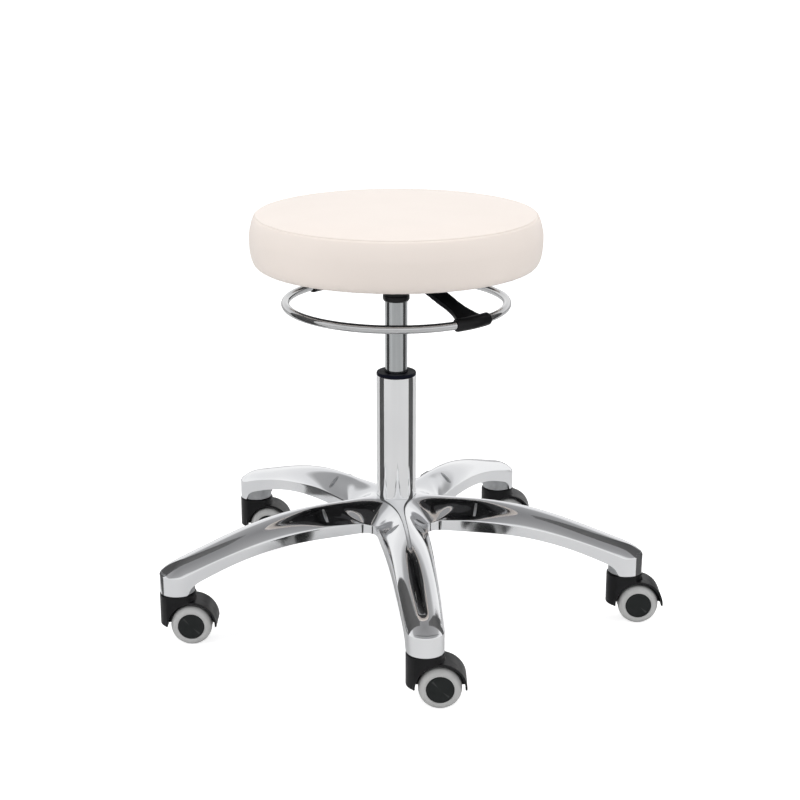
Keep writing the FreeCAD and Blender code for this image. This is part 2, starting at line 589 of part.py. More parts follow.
# ---- write every piece ------------------------------------------------------------------
def main():
    os.makedirs("parts", exist_ok=True)
    pieces = {
        "star_base": star_base(),
        "column_tube": column_tube(),
        "guide_bush": guide_bush(),
        "bearing_lower_race": tube(BALL_PITCH_R + 4, BALL_PITCH_R - 4, BEARING_Z, BEARING_Z + RACE_H),
        "bearing_balls": bearing_balls(),
        "bearing_upper_race": tube(BALL_PITCH_R + 4, SPIGOT_R, UPPER_RACE_Z, UPPER_RACE_Z + RACE_H),
        "bump_stop": tube(ROD_R + 7, ROD_R, UPPER_RACE_Z + RACE_H, BUMP_TOP),
        "rod_clip": rod_clip(),
        "piston_rod": piston_rod(),
        "piston": piston(),
        "gas_cylinder": gas_cylinder(),
        "rod_seal": rod_seal(),
        "valve_body": valve_body(),
        "release_pin": release_pin(),
        "mechanism_housing": mechanism_housing(),
        "ring_yoke": ring_yoke(),
        "release_ring": release_ring(),
        "seat_plate": seat_plate(),
        "plate_screws": plate_screws(),
        "tee_nuts": tee_nuts(),
        "seat_board": seat_board(),
        "seat_foam": seat_foam(),
        "cover_top": cover_top(),
        "cover_band": cover_band(),
        "dust_cover": dust_cover(),
    }
    castor = {
        "hood": castor_hood(),
        "stem": castor_stem(),
        "axle": castor_axle(),
        "wheel_near": wheel_core(-1),
        "wheel_far": wheel_core(1),
        "tread_near": wheel_tread(-1),
        "tread_far": wheel_tread(1),
    }
    for place, angle in LEG_ANGLES.items():
        x, y = stem_place(angle)
        for part, shape in castor.items():
            pieces[place + "_" + part] = placed(shape, 0.0, x, y)
    for node, shape in pieces.items():
        save(node, shape)


main()
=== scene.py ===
"""Round dental stool: padded seat, release ring, gas-spring column, star base, twin-wheel castors."""
import json
import math
import bmesh
import bpy
from mathutils import Matrix, Vector


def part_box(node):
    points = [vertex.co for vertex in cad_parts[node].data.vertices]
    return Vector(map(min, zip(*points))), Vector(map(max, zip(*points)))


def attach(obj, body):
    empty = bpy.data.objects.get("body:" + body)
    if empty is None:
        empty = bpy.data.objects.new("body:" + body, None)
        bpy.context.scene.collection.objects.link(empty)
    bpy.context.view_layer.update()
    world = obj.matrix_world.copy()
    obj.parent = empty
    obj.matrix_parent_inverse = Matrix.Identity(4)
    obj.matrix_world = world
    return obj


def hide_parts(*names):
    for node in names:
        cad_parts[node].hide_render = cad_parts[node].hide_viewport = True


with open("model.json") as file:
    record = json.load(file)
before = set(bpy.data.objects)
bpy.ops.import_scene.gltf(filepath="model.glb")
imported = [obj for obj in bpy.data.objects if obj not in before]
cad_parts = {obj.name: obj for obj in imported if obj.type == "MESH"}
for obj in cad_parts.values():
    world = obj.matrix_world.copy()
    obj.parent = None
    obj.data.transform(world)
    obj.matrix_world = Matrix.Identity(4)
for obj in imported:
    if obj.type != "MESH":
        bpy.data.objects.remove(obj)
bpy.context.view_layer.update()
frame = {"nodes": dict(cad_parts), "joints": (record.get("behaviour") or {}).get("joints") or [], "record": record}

MM = 0.001
FULL_TURN = 2 * math.pi
TINY = 1e-4                 # lengths below this many millimetres count as none
NEARLY_HALF = 0.49          # most of a side that one rounded corner may take
SCENE = bpy.context.scene
JOINTS = {joint["name"]: joint for joint in frame["joints"]}
CASTORS = ["front", "right", "back_right", "back_left", "left"]


# ---- geometry helpers ------------------------------------------------------------------

def mesh_object(name, verts, faces):
    """Smooth-shaded object from points in millimetres."""
    mesh = bpy.data.meshes.new(name)
    mesh.from_pydata([Vector(v) * MM for v in verts], [], faces)
    mesh.polygons.foreach_set("use_smooth", [True] * len(mesh.polygons))
    mesh.update()
    obj = bpy.data.objects.new(name, mesh)
    SCENE.collection.objects.link(obj)
    return obj


def rounded(points, radius, steps=4):
    """Closed outline with every corner rounded; radius may be one number or one for each corner."""
    radii = radius if isinstance(radius, (list, tuple)) else [radius] * len(points)
    out = []
    for i, corner in enumerate(points):
        here = Vector(corner)
        back, ahead = Vector(points[i - 1]) - here, Vector(points[(i + 1) % len(points)]) - here
        if radii[i] <= 0 or min(back.length, ahead.length) < TINY:
            out.append(tuple(here))
            continue
        half = back.angle(ahead) / 2
        reach = min(radii[i] / math.tan(half), back.length * NEARLY_HALF, ahead.length * NEARLY_HALF)
        r = reach * math.tan(half)
        start, end = here + back.normalized() * reach, here + ahead.normalized() * reach
        centre = here + (back.normalized() + ahead.normalized()).normalized() * (r / math.sin(half))
        for k in range(steps + 1):
            mix = start.lerp(end, k / steps) - centre
            out.append(tuple(centre + mix.normalized() * r))
    return out


def lathe_mesh(profile, segments):
    """Points and faces of a closed (radius, height) outline turned about Z, with poles on the axis."""
    verts, rings = [], []
    for radius, height in profile:
        if radius < TINY:
            rings.append([len(verts)] * segments)
            verts.append((0, 0, height))
            continue
        rings.append(list(range(len(verts), len(verts) + segments)))
        for k in range(segments):
            turn = FULL_TURN * k / segments
            verts.append((radius * math.cos(turn), radius * math.sin(turn), height))
    faces = []
    for low, high in zip(rings, rings[1:] + rings[:1]):
        for k in range(segments):
            n = (k + 1) % segments
            face = []
            for index in (low[k], low[n], high[n], high[k]):
                if index not in face:
                    face.append(index)
            if len(face) > 2:
                faces.append(face)
    return verts, faces


def lathe(name, profile, segments):
    verts, faces = lathe_mesh(profile, segments)
    obj = mesh_object(name, verts, faces)
    fix_normals(obj)
    weigh_normals(obj)
    return obj


def fix_normals(obj):
    bm = bmesh.new()
    bm.from_mesh(obj.data)
    bmesh.ops.recalc_face_normals(bm, faces=bm.faces)
    bm.to_mesh(obj.data)
    bm.free()


def weigh_normals(obj):
    obj.modifiers.new("weighted", "WEIGHTED_NORMAL").keep_sharp = True


def bake_modifiers(obj):
    """Turns the evaluated shape into the object's own mesh."""
    bpy.context.view_layer.update()
    graph = bpy.context.evaluated_depsgraph_get()
    mesh = bpy.data.meshes.new_from_object(obj.evaluated_get(graph))
    obj.modifiers.clear()
    obj.data = mesh
    return obj


def soften(node, name, voxel, rounds):
    """A new piece from a CAD node's shape, with its edges rounded by remeshing and smoothing."""
    obj = bpy.data.objects.new(name, frame["nodes"][node].data.copy())
    SCENE.collection.objects.link(obj)
    obj.data.materials.clear()
    remesh = obj.modifiers.new("remesh", "REMESH")
    remesh.mode = "VOXEL"
    remesh.voxel_size = voxel * MM
    remesh.use_smooth_shade = True
    smooth = obj.modifiers.new("smooth", "SMOOTH")
    smooth.factor = 0.5
    smooth.iterations = rounds
    return bake_modifiers(obj)


def settle(obj, body, nodes, material):
    """Gives a piece its material and its body, and hides the CAD nodes it stands for."""
    if material:
        obj.data.materials.clear()
        obj.data.materials.append(material)
    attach(obj, body)
    if nodes:
        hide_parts(*nodes)


# ---- material helpers --------------------------------------------------------------------

MIX_COLOUR_A, MIX_COLOUR_B, MIX_COLOUR = 6, 7, 2      # a Mix node's colour inputs and output


class Surface:
    """A Principled material with small methods for its procedural layers."""

    def __init__(self, name, metallic=0.0, **sockets):
        self.mat = bpy.data.materials.new(name)
        self.mat.use_nodes = True
        self.tree = self.mat.node_tree
        self.bsdf = self.tree.nodes["Principled BSDF"]
        self.bsdf.inputs["Metallic"].default_value = metallic
        for socket, value in sockets.items():
            self.bsdf.inputs[socket.replace("_", " ").title().replace("Ior", "IOR")].default_value = value
        self.coords = self.node("ShaderNodeTexCoord").outputs["Object"]
        self.normal = None

    def node(self, kind):
        return self.tree.nodes.new(kind)

    def link(self, a, b):
        self.tree.links.new(a, b)

    def noise(self, scale, detail=3.0, stretch=(1, 1, 1), distortion=0.0):
        mapping = self.node("ShaderNodeMapping")
        mapping.inputs["Scale"].default_value = stretch
        self.link(self.coords, mapping.inputs["Vector"])
        tex = self.node("ShaderNodeTexNoise")
        tex.inputs["Scale"].default_value = scale
        tex.inputs["Detail"].default_value = detail
        tex.inputs["Distortion"].default_value = distortion
        self.link(mapping.outputs["Vector"], tex.inputs["Vector"])
        return tex.outputs["Fac"]

    def cells(self, scale, feature="F1"):
        tex = self.node("ShaderNodeTexVoronoi")
        tex.feature = feature
        tex.inputs["Scale"].default_value = scale
        self.link(self.coords, tex.inputs["Vector"])
        return tex.outputs["Distance"]

    def colour(self, fac, *stops):
        """Base colour from (position, rgb) stops."""
        self.link(self.ramp(fac, *stops), self.bsdf.inputs["Base Color"])

    def ramp(self, fac, *stops):
        node = self.node("ShaderNodeValToRGB")
        elements = node.color_ramp.elements
        elements[0].position, elements[0].color = stops[0][0], (*stops[0][1], 1)
        elements[1].position, elements[1].color = stops[-1][0], (*stops[-1][1], 1)
        for position, rgb in stops[1:-1]:
            elements.new(position).color = (*rgb, 1)
        self.link(fac, node.inputs["Fac"])
        return node.outputs["Color"]

    def mix(self, fac, a, b):
        """Base colour that goes from a to b with the factor."""
        node = self.node("ShaderNodeMix")
        node.data_type = "RGBA"
        self.link(fac, node.inputs["Factor"])
        self.link(a, node.inputs[MIX_COLOUR_A])
        self.link(b, node.inputs[MIX_COLOUR_B])
        self.link(node.outputs[MIX_COLOUR], self.bsdf.inputs["Base Color"])

    def spread(self, fac, low, high, socket="Roughness", start=0.3, end=0.7):
        """Takes a texture's middle range to low..high, and on to a socket where one is named."""
        node = self.node("ShaderNodeMapRange")
        for label, value in (("From Min", start), ("From Max", end), ("To Min", low), ("To Max", high)):
            node.inputs[label].default_value = value
        self.link(fac, node.inputs["Value"])
        if socket:
            self.link(node.outputs["Result"], self.bsdf.inputs[socket])
        return node.outputs["Result"]

    def bump(self, fac, depth_mm, strength=1.0):
        """Adds a layer of relief of that depth over the layers already there."""
        node = self.node("ShaderNodeBump")
        node.inputs["Strength"].default_value = strength
        node.inputs["Distance"].default_value = depth_mm * MM
        self.link(fac, node.inputs["Height"])
        if self.normal:
            self.link(self.normal, node.inputs["Normal"])
        self.normal = node.outputs["Normal"]
        self.link(self.normal, self.bsdf.inputs["Normal"])

    def edges(self, start=0.52, end=0.58):
        """Mask of convex edges, 0 to 1, where a painted highlight goes."""
        geometry = self.node("ShaderNodeNewGeometry")
        return self.spread(geometry.outputs["Pointiness"], 0.0, 1.0, None, start, end)


def polished_aluminium():
    s = Surface("polished_aluminium", metallic=1.0)
    s.colour(s.noise(9, 2), (0.3, (0.80, 0.81, 0.825)), (0.7, (0.87, 0.875, 0.885)))
    s.spread(s.noise(35, 4), 0.045, 0.10)
    s.bump(s.noise(14, 1.5), 0.12, 0.25)
    s.bump(s.noise(900, 2, (1, 1, 0.15)), 0.006, 0.25)
    return s.mat


def cast_aluminium():
    s = Surface("cast_aluminium", metallic=1.0)
    s.colour(s.noise(60, 4), (0.3, (0.42, 0.43, 0.44)), (0.7, (0.56, 0.57, 0.58)))
    s.spread(s.noise(220, 4), 0.38, 0.62)
    s.bump(s.noise(700, 4), 0.12, 0.7)
    return s.mat


def chrome(name, dark, light, rough):
    s = Surface(name, metallic=1.0)
    low, high = (dark, dark * 1.005, dark * 1.015), (light, light * 1.005, light * 1.01)
    s.colour(s.noise(12, 2), (0.3, low), (0.7, high))
    s.spread(s.noise(50, 4), rough, rough + 0.035)
    s.bump(s.noise(22, 1), 0.02, 0.2)
    return s.mat


def satin_steel():
    s = Surface("satin_steel", metallic=1.0)
    s.colour(s.noise(330, 2, (1, 1, 0.004)), (0.35, (0.40, 0.415, 0.42)), (0.65, (0.54, 0.555, 0.56)))
    s.spread(s.noise(120, 4, (1, 1, 6)), 0.07, 0.13)
    s.bump(s.noise(160, 3, (1, 1, 25)), 0.006, 0.5)
    return s.mat


def bright_steel():
    s = Surface("bright_steel", metallic=1.0)
    s.colour(s.noise(40, 3), (0.3, (0.58, 0.58, 0.59)), (0.7, (0.70, 0.70, 0.71)))
    s.spread(s.noise(200, 3), 0.12, 0.24)
    s.bump(s.noise(500, 3), 0.01, 0.4)
    return s.mat


def zinc_plate():
    s = Surface("zinc_plate", metallic=1.0)
    blue, grey, yellow = (0.52, 0.54, 0.56), (0.64, 0.64, 0.62), (0.70, 0.68, 0.60)
    s.colour(s.noise(90, 4), (0.3, blue), (0.55, grey), (0.7, yellow))
    s.spread(s.noise(260, 4), 0.24, 0.42)
    s.bump(s.cells(500), 0.02, 0.4)
    return s.mat


def moulded_plastic(name, dark, light, rough, edge_highlight_colour, grain_scale=1500, grain=0.03, gloss=0.22):
    """Moulded plastic with a fine spark-eroded grain and a painted highlight: a lighter colour on its convex
    edges.
    """
    s = Surface(name, specular_ior_level=gloss)
    body = s.ramp(s.noise(70, 3), (0.3, dark), (0.7, light))
    # Convex edges get a lighter colour: a painted highlight.
    painted_edge_highlight = s.ramp(s.noise(45, 2), (0.3, [c * 0.8 for c in edge_highlight_colour]), (0.7, edge_highlight_colour))
    s.mix(s.edges(), body, painted_edge_highlight)
    s.spread(s.noise(130, 4), rough - 0.05, rough + 0.07)
    s.bump(s.noise(grain_scale, 3), grain, 0.6)
    s.bump(s.noise(30, 2), 0.05, 0.15)
    return s.mat


def grey_tread():
    s = Surface("grey_tread", specular_ior_level=0.35)
    s.colour(s.noise(55, 4), (0.3, (0.46, 0.46, 0.455)), (0.7, (0.52, 0.52, 0.515)))
    s.spread(s.noise(160, 3), 0.5, 0.66)
    s.bump(s.noise(1100, 3), 0.03, 0.5)
    return s.mat


def black_rubber():
    s = Surface("black_rubber", specular_ior_level=0.3)
    s.colour(s.noise(80, 3), (0.3, (0.018, 0.018, 0.019)), (0.7, (0.032, 0.032, 0.033)))
    s.spread(s.noise(150, 3), 0.6, 0.75)
    s.bump(s.noise(900, 3), 0.03, 0.5)
    return s.mat


def satin_enamel():
    s = Surface("satin_enamel", coat_weight=0.12, coat_roughness=0.2, specular_ior_level=0.2)
    s.colour(s.noise(60, 3), (0.3, (0.004, 0.004, 0.0045)), (0.7, (0.009, 0.009, 0.010)))
    s.spread(s.noise(180, 4), 0.32, 0.45)
    s.bump(s.cells(420), 0.03, 0.3)
    return s.mat


def upholstery():
    """Cream artificial leather: fine pebble grain, faint tone changes, a soft semi-matt sheen."""
    s = Surface("cream_upholstery", specular_ior_level=0.4, sheen_weight=0.08, sheen_roughness=0.5)
    s.colour(s.noise(7, 3), (0.3, (0.835, 0.755, 0.695)), (0.7, (0.87, 0.79, 0.73)))
    s.spread(s.noise(420, 3), 0.40, 0.52)
    s.bump(s.noise(26, 3), 0.25, 0.12)
    s.bump(s.cells(1150, "DISTANCE_TO_EDGE"), 0.06, 0.35)
    s.bump(s.noise(2300, 3), 0.02, 0.4)
    return s.mat


def plywood():
    s = Surface("plywood")
    plies = s.noise(330, 2, (0.05, 0.05, 1))
    s.colour(plies, (0.35, (0.34, 0.22, 0.12)), (0.5, (0.60, 0.45, 0.28)), (0.65, (0.70, 0.56, 0.38)))
    s.spread(s.noise(400, 3, (1, 0.1, 1)), 0.55, 0.75)
    s.bump(s.noise(500, 4, (1, 0.08, 1)), 0.1, 0.5)
    return s.mat


def foam():
    s = Surface("foam")
    s.colour(s.cells(600), (0.1, (0.55, 0.48, 0.30)), (0.6, (0.80, 0.74, 0.55)))
    s.spread(s.noise(300, 3), 0.85, 0.95)
    s.bump(s.cells(900), 0.4, 0.8)
    return s.mat


def dust_cloth():
    """Black non-woven cloth with pressed fibre dimples."""
    s = Surface("dust_cloth", sheen_weight=0.3, sheen_roughness=0.6)
    s.colour(s.noise(900, 5, (1, 1, 1), 2.0), (0.35, (0.012, 0.012, 0.013)), (0.65, (0.045, 0.045, 0.048)))
    s.spread(s.noise(700, 4), 0.75, 0.92)
    s.bump(s.cells(480), 0.12, 0.6)
    s.bump(s.noise(1800, 4, (1, 1, 1), 3.0), 0.08, 0.6)
    return s.mat


MATERIALS = {
    "polished_aluminium": polished_aluminium(),
    "cast_aluminium": cast_aluminium(),
    "chrome": chrome("chrome", 0.80, 0.86, 0.02),
    "ring_chrome": chrome("ring_chrome", 0.54, 0.62, 0.045),
    "satin_steel": satin_steel(),
    "bright_steel": bright_steel(),
    "zinc_steel": zinc_plate(),
    "black_enamel": satin_enamel(),
    # The last colour given to each plastic is its painted highlight on convex edges.
    "black_plastic": moulded_plastic(
        "black_plastic", (0.003, 0.003, 0.0034), (0.006, 0.006, 0.007), 0.34, edge_highlight_colour=(0.03, 0.03, 0.032)),
    "bush_plastic": moulded_plastic(
        "bush_plastic", (0.002, 0.003, 0.007), (0.004, 0.005, 0.012), 0.5, edge_highlight_colour=(0.012, 0.016, 0.035),
        grain_scale=900, grain=0.01, gloss=0.08),
    "charcoal_plastic": moulded_plastic(
        "charcoal_plastic", (0.008, 0.010, 0.010), (0.013, 0.015, 0.015), 0.45, edge_highlight_colour=(0.04, 0.042, 0.042)),
    "grey_tread": grey_tread(),
    "black_rubber": black_rubber(),
    "white_upholstery": upholstery(),
    "plywood": plywood(),
    "foam": foam(),
    "dust_cloth": dust_cloth(),
}


# ---- star base ---------------------------------------------------------------------------

STEM_CIRCLE = Vector(JOINTS["front_swivel"]["pos_m"][:2]).length / MM
LEG_TURNS = [math.atan2(y, x) for x, y, _ in (JOINTS[c + "_swivel"]["pos_m"] for c in CASTORS)]
HALF_SECTOR = math.radians(36)
TIP_HALF = 22.0             # half width of a leg at its castor, and radius of its round end
TAPER = 0.0385              # growth of the half width towards the hub
WALL = 4.0
BORE = 25.3                 # where the top skin starts, round the column
BORE_FIT = 25.02            # the hub's bore round the column
FILLET = 16.0               # plan radius of the corner between two legs
FILLET_AT = 64              # distance at which the leg's width sets the corners
CREASE_PEAK = (100.0, 128.2, 500.0)      # radius, height and arc radius of the crease
RIDGE_PEAK = (90.0, 148.0, 433.0)        # the same of the ridge along the top
UNDER_PEAK = (122.0, 113.3, 365.0)       # the same of the walls' lower edge
RIDGE_SLOPE = 0.325         # fall of the straight outer part of the ridge
HUB_TOP = (147.2, 0.03)     # height of the hub's top at the bore, and its slope
HUB_BLEND = 60              # distance over which the round hub turns into a leg
HUB_EDGE_DROP = 1.2         # how much lower the crease is near the hub
HUB_ARCH = 0.12             # share of a full arch where the leg leaves the hub
VALLEY = (146.6, 28.75)     # height of the saddle between two legs, and its fall outwards
VALLEY_RUN = (27.0, 52.0)   # where it starts to fall, and over what distance
NOSE_START = 282.0          # where the ridge starts to round over the leg's end
NOSE_POWER = 3.2
NOSE_RISE = 14.0
NOSE_TURN = math.radians(45)
TIP_CREASE = 88.8
BOSS_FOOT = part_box("star_base")[0].z / MM
ACROSS = [0.0, 0.16, 0.33, 0.5, 0.67, 0.83, 0.94, 1.0]      # shares of the half width


def arc_height(r, peak):
    """Height of an arc that is level up to its peak's radius and falls outwards."""
    reach = max(r - peak[0], 0.0)
    return peak[1] - peak[2] + math.sqrt(peak[2] ** 2 - reach ** 2)


def eased(x):
    """Smooth step from 0 to 1."""
    x = min(max(x, 0.0), 1.0)
    return x * x * (3 - 2 * x)


def ridge_height(r):
    straight_from = RIDGE_PEAK[0] + RIDGE_PEAK[2] * math.sin(math.atan(RIDGE_SLOPE))
    if r <= straight_from:
        return arc_height(r, RIDGE_PEAK)
    return arc_height(straight_from, RIDGE_PEAK) - RIDGE_SLOPE * (r - straight_from)


def valley_height(r):
    """Floor of the saddle between two legs, from the column out to the crease."""
    return VALLEY[0] - VALLEY[1] * eased((r - VALLEY_RUN[0]) / VALLEY_RUN[1])


def half_width(x):
    return TIP_HALF + TAPER * max(STEM_CIRCLE - x, 0.0)


def crown_profile(v, half, rise, archness):
    """Height share across the leg: a soft ridge at the hub, a full round arch further out."""
    soft = 0.5 * (1 + math.cos(math.pi * v))
    radius = (half * half + rise * rise) / (2 * rise)
    arch = (math.sqrt(max(radius * radius - (v * half) ** 2, 0)) - (radius - rise)) / rise
    return soft + (arch - soft) * archness


def star_stations():
    """Cross lines of one leg: (centre's x, edge point, edge height, archness, foot height or None)."""
    w_hub = half_width(FILLET_AT)
    centre_dist = (w_hub + FILLET) / math.sin(HALF_SECTOR)
    fillet_at = Vector((centre_dist * math.cos(HALF_SECTOR), centre_dist * math.sin(HALF_SECTOR)))
    inner = centre_dist - FILLET
    rows = []
    hub_stations = ((0.0, BORE), (0.08, 29.0), (0.25, 37.0), (0.5, 48.0), (0.75, 59.0), (0.94, 68.0))
    for share, centre_x in hub_stations:
        r = BORE + (inner - BORE) * share
        edge = (r * math.cos(HALF_SECTOR), r * math.sin(HALF_SECTOR))
        rows.append((centre_x, edge, valley_height(r), 0.0, None))
    crease_hub = valley_height(inner)
    crease_side = CREASE_PEAK[1] - HUB_EDGE_DROP
    for k, centre_x in enumerate((71.0, 78.0, 85.0, 92.0)):
        turn = math.pi + HALF_SECTOR + HALF_SECTOR / 2 * k
        edge = fillet_at + FILLET * Vector((math.cos(turn), math.sin(turn)))
        height = crease_hub + (crease_side - crease_hub) * eased(k / 3.4)
        rows.append((centre_x, tuple(edge), height, HUB_ARCH * k / 3, UNDER_PEAK[1]))
    leg_stations = ((76, 100), (90, 110), (108, 122), (130, 139), (155, 159), (182, 183),
                    (210, 210), (238, 238), (262, 262))
    for x, centre_x in leg_stations:
        height = arc_height(x, CREASE_PEAK) - HUB_EDGE_DROP * eased((CREASE_PEAK[0] - x) / 30)
        archness = HUB_ARCH + (1 - HUB_ARCH) * eased((x - HUB_BLEND) / 110)
        rows.append((centre_x, (x, half_width(x)), height, archness, arc_height(x, UNDER_PEAK)))
    for x, foot in ((275, 80.5), (286.0, 73.5), (287.5, BOSS_FOOT), (STEM_CIRCLE, BOSS_FOOT)):
        height = max(arc_height(x, CREASE_PEAK), TIP_CREASE + (STEM_CIRCLE - x) * 0.12)
        rows.append((x, (x, half_width(x)), height, 1.0, foot))
    return rows


def tip_ridge(x):
    """Crown line over the rounded nose of the leg."""
    if x <= NOSE_START:
        return ridge_height(x)
    start, length = ridge_height(NOSE_START), STEM_CIRCLE + TIP_HALF - NOSE_START
    extra = start - TIP_CREASE - RIDGE_SLOPE * length
    reach = (x - NOSE_START) / length
    return start - RIDGE_SLOPE * (x - NOSE_START) - extra * reach ** NOSE_POWER


def leg_cage():
    """Half of a leg's control cage: rows of top points, and the wall points under each row's edge."""
    rows, walls = [], []
    for centre_x, edge, edge_z, archness, foot in star_stations():
        half = Vector(edge).y if foot is not None else max(Vector(edge).y, 12.0)
        top_z = min(tip_ridge(centre_x), HUB_TOP[0] + HUB_TOP[1] * (centre_x - BORE))
        rise = top_z - edge_z
        row = []
        radius = Vector(edge).length
        for v in ACROSS:
            x = centre_x + (edge[0] - centre_x) * v * v
            y = edge[1] * v
            if foot is None:
                blend = eased((centre_x - BORE) / HUB_BLEND)
                arc_r = centre_x + (radius - centre_x) * v
                polar = (arc_r * math.cos(HALF_SECTOR * v), arc_r * math.sin(HALF_SECTOR * v))
                x, y = polar[0] + (x - polar[0]) * blend, polar[1] + (y - polar[1]) * blend
            row.append((x, y, edge_z + rise * crown_profile(v, half, max(rise, 1.0), archness)))
        rows.append(row)
        walls.append(None if foot is None else (edge, edge_z, foot))
    for share in (0.3, 0.58, 0.82, 0.95, 1.0):
        row = []
        side, depth = math.sin(NOSE_TURN * share), math.cos(NOSE_TURN * share)
        crown_z = tip_ridge(STEM_CIRCLE + TIP_HALF * share)
        for v in ACROSS:
            bow = (math.cos(NOSE_TURN * v) - math.cos(NOSE_TURN)) / (1 - math.cos(NOSE_TURN))
            x = STEM_CIRCLE + TIP_HALF * (side + (share - side) * bow)
            straight, arc = v * depth, math.sin(NOSE_TURN * v) * depth / math.sin(NOSE_TURN)
            y = TIP_HALF * (straight + (arc - straight) * share)
            rise = (crown_z - TIP_CREASE) * crown_profile(v, TIP_HALF, NOSE_RISE, 1.0)
            row.append((x, y, TIP_CREASE + rise))
        rows.append(row)
        walls.append(((row[-1][0], row[-1][1]), TIP_CREASE, BOSS_FOOT))
    return rows, walls


def star_skin():
    """The polished outer skin of all five legs as one cage, with walls hanging from the crease."""
    rows, walls = leg_cage()
    verts, faces = [], []

    def add(points):
        verts.extend(points)
        return list(range(len(verts) - len(points), len(verts)))

    for turn in LEG_TURNS:
        spin = Matrix.Rotation(turn, 3, "Z")
        grid = []
        for row in rows:
            mirrored = [(x, -y, z) for x, y, z in reversed(row[1:])]
            grid.append(add([spin @ Vector(p) for p in mirrored + row]))
        for a, b in zip(grid, grid[1:]):
            faces += [(a[k], b[k], b[k + 1], a[k + 1]) for k in range(len(a) - 1)]
        first_wall = next(k for k, wall in enumerate(walls) if wall)
        rim_top = [grid[k][-1] for k in range(first_wall, len(rows))]
        rim_top += list(reversed(grid[-1][1:-1]))
        rim_top += [grid[k][0] for k in range(len(rows) - 1, first_wall - 1, -1)]
        drops = []
        for k in range(first_wall, len(rows)):
            edge, edge_z, foot = walls[k]
            drops.append((edge[0], edge[1], edge_z, foot))
        end = [(x, y, TIP_CREASE, BOSS_FOOT) for x, y, z in reversed(rows[-1][1:-1])]
        end += [(rows[-1][0][0], 0.0, TIP_CREASE, BOSS_FOOT)]
        end += [(x, -y, TIP_CREASE, BOSS_FOOT) for x, y, z in rows[-1][1:-1]]
        drops += end + [(x, -y, z, foot) for x, y, z, foot in reversed(drops)]
        loops = [rim_top]
        for level in range(5):
            points = []
            for x, y, top, foot in drops:
                heights = (top - 1.3, top - 0.4 * (top - foot), foot + 0.25 * (top - foot), foot + 1.2, foot)
                points.append(spin @ Vector((x, y, heights[level])))
            loops.append(add(points))
        for a, b in zip(loops, loops[1:]):
            faces += [(a[k], a[k + 1], b[k + 1], b[k]) for k in range(len(a) - 1)]
    obj = mesh_object("star_casting", verts, faces)
    bm = bmesh.new()
    bm.from_mesh(obj.data)
    bmesh.ops.remove_doubles(bm, verts=bm.verts, dist=0.05 * MM)
    bmesh.ops.recalc_face_normals(bm, faces=bm.faces)
    bm.to_mesh(obj.data)
    bm.free()
    return obj


def star_base():
    skin = star_skin()
    subsurf = skin.modifiers.new("rounding", "SUBSURF")
    subsurf.levels = subsurf.render_levels = 2
    skin.data.materials.append(MATERIALS["polished_aluminium"])
    skin.data.materials.append(MATERIALS["cast_aluminium"])
    shell = skin.modifiers.new("wall", "SOLIDIFY")
    shell.thickness = WALL * MM
    shell.offset = -1
    shell.material_offset = 1
    bake_modifiers(skin)
    return skin


def ring_solid(verts, faces, profile, at, segments):
    """Adds a closed turned body at a plan position to lists of points and faces."""
    more, links = lathe_mesh(profile, segments)
    start = len(verts)
    verts += [(x + at[0], y + at[1], z) for x, y, z in more]
    faces += [[start + k for k in face] for face in links]


def rib(verts, faces, turn, stations, half):
    """Adds an upright strip along a leg; stations are (radius, low, high)."""
    spin = Matrix.Rotation(turn, 3, "Z")
    start = len(verts)
    for r, low, high in stations:
        corners = ((r, -half, low), (r, half, low), (r, half, high), (r, -half, high))
        verts += [spin @ Vector(p) for p in corners]
    for n in range(len(stations) - 1):
        a, b = start + 4 * n, start + 4 * n + 4
        faces += [(a + k, a + (k + 1) % 4, b + (k + 1) % 4, b + k) for k in range(4)]
    last = start + 4 * (len(stations) - 1)
    faces += [tuple(range(start, start + 4)), tuple(range(last, last + 4))]


def cross_rib(verts, faces, turn, x, low):
    """Adds an upright web across a leg's hollow at radius x, up into the crown."""
    spin = Matrix.Rotation(turn, 3, "Z")
    start, half, steps, thick = len(verts), half_width(x) - 1.5, 8, 2.8
    rise = ridge_height(x) - arc_height(x, CREASE_PEAK)
    for side in (-thick / 2, thick / 2):
        for k in range(steps + 1):
            v = 2 * k / steps - 1
            high = arc_height(x, CREASE_PEAK) + rise * crown_profile(v, half_width(x), rise, 1.0) - 2.0
            verts += [spin @ Vector((x + side, v * half, low)), spin @ Vector((x + side, v * half, high))]
    row = 2 * (steps + 1)
    for k in range(steps):
        a, b = start + 2 * k, start + row + 2 * k
        faces += [(a, a + 1, a + 3, a + 2), (b, b + 2, b + 3, b + 1)]
        faces += [(a + 1, b + 1, b + 3, a + 3), (a, a + 2, b + 2, b)]
    for k in (0, steps):
        a, b = start + 2 * k, start + row + 2 * k
        faces.append((a, b, b + 1, a + 1))


